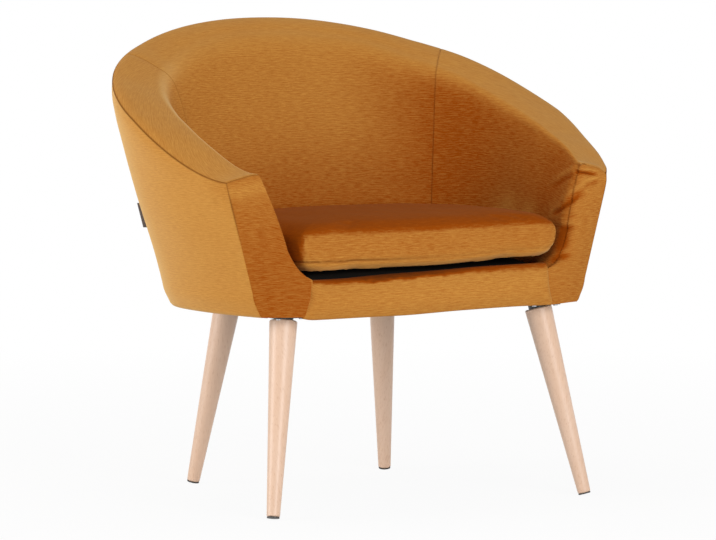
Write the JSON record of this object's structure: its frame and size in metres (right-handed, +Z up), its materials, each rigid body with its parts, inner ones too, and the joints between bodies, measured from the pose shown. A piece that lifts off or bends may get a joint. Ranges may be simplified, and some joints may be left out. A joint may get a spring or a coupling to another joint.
{
  "type": "upholstered tub chair",
  "caption": "Low upholstered tub chair: a curved back that falls to sloping arms, a loose seat cushion, and splayed tapered wooden legs.",
  "frame": {"origin": "on the floor, at the middle of the chair's width and depth", "axes": "+Z up, the sitter faces -Y, +X to the right in a view of the front"},
  "size_m": [0.777, 0.5538, 0.7411],
  "materials": {
    "velvet": "mustard velvet with a short pile and a fine crinkled grain",
    "beech": "clear satin lacquer on pale beech",
    "plywood": "raw birch plywood",
    "fibreboard": "raw bent fibreboard",
    "foam": "raw foam with a layer of wadding",
    "black_cloth": "matt black cloth",
    "webbing": "elastic strap",
    "black_steel": "black paint on pressed steel",
    "zinc": "zinc-plated steel",
    "glide": "dark moulded plastic",
    "tag": "plain grey woven tape"
  },
  "bodies": {
    "chair": {"leg_front_left": "beech", "leg_front_right": "beech", "leg_rear_left": "beech", "leg_rear_right": "beech", "foot_glides": "glide", "leg_plates": "black_steel", "hanger_bolts": "zinc", "plate_screws": "zinc", "base_ring": "plywood", "front_rail": "plywood", "arm_post_left": "plywood", "arm_post_right": "plywood", "rim_rail_back": "plywood", "rim_rail_left": "plywood", "rim_rail_right": "plywood", "wall_ribs": "plywood", "corner_blocks": "beech", "outer_board_back": "fibreboard", "outer_board_left": "fibreboard", "outer_board_right": "fibreboard", "inner_board": "fibreboard", "webbing_across": "webbing", "webbing_along": "webbing", "deck_foam": "foam", "back_foam": "foam", "arm_foam_left": "foam", "arm_foam_right": "foam", "arm_front_pad_left": "foam", "arm_front_pad_right": "foam", "border_foam": "foam", "base_padding": "foam", "inside_cover_back": "velvet", "inside_cover_left": "velvet", "inside_cover_right": "velvet", "outside_cover_back": "velvet", "outside_cover_left": "velvet", "outside_cover_right": "velvet", "arm_front_cover_left": "velvet", "arm_front_cover_right": "velvet", "border_cover": "velvet", "deck_cloth": "black_cloth", "dust_cover": "black_cloth", "seam_tag": "tag"},
    "cushion": {"cushion_core": "foam", "cushion_top_cover": "velvet", "cushion_bottom_cover": "velvet", "cushion_zip": "black_cloth"},
    "zip_slider": {"zip_slider": "zinc"}
  },
  "joints": [
    {"name": "cushion_lift", "type": "slide", "parent": "chair", "child": "cushion", "axis": [0, 0, 1], "range_m": [0, 0.3]},
    {"name": "zip_slide", "type": "slide", "parent": "cushion", "child": "zip_slider", "axis": [1, 0, 0], "range_m": [0, 0.26]}
  ]
}
